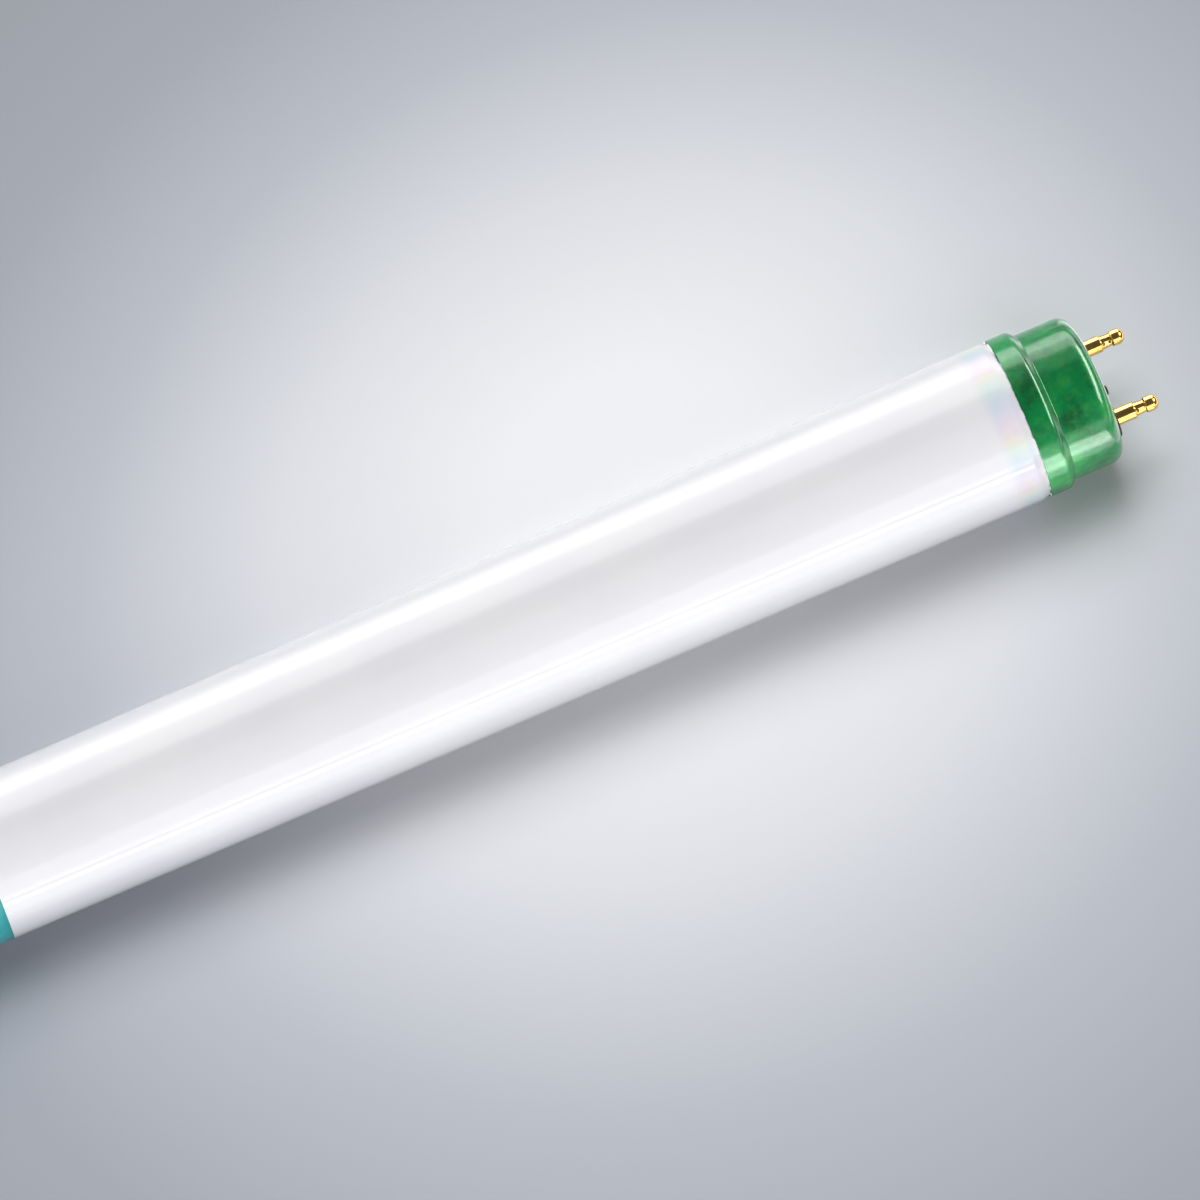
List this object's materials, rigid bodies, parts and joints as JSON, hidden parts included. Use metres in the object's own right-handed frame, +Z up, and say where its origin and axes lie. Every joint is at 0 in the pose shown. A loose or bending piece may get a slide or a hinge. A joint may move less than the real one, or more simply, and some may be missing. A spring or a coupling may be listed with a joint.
{
  "type": "fluorescent tube",
  "caption": "Straight white fluorescent lamp tube with a green metal cap and two crimped brass pins at each end.",
  "frame": {"origin": "the middle of the lamp, on the tube's axis and at the centre of its bounding box", "axes": "+X along the tube towards the end that the picture shows, the two pins of each cap side by side along Y, +Z up; the tube lies on its side"},
  "size_m": [0.604, 0.026, 0.026],
  "materials": {
    "coated_glass": "glossy clear glass over an even white powder coating, which can't be seen through",
    "green_aluminium": "satin green anodised, with fine turning marks",
    "dark_moulding": "dull pressed moulding",
    "cement": "grey basing cement, rough, with dark specks",
    "brass": "polished",
    "lead_wire": "drawn wire"
  },
  "bodies": {
    "root": {"sealed_glass_tube": "coated_glass", "right_cap_shell": "green_aluminium", "right_insulating_plate": "dark_moulding", "right_cement_ring": "cement", "right_front_pin": "brass", "right_front_lead_wire": "lead_wire", "right_rear_pin": "brass", "right_rear_lead_wire": "lead_wire", "left_cap_shell": "green_aluminium", "left_insulating_plate": "dark_moulding", "left_cement_ring": "cement", "left_front_pin": "brass", "left_front_lead_wire": "lead_wire", "left_rear_pin": "brass", "left_rear_lead_wire": "lead_wire"}
  },
  "joints": []
}
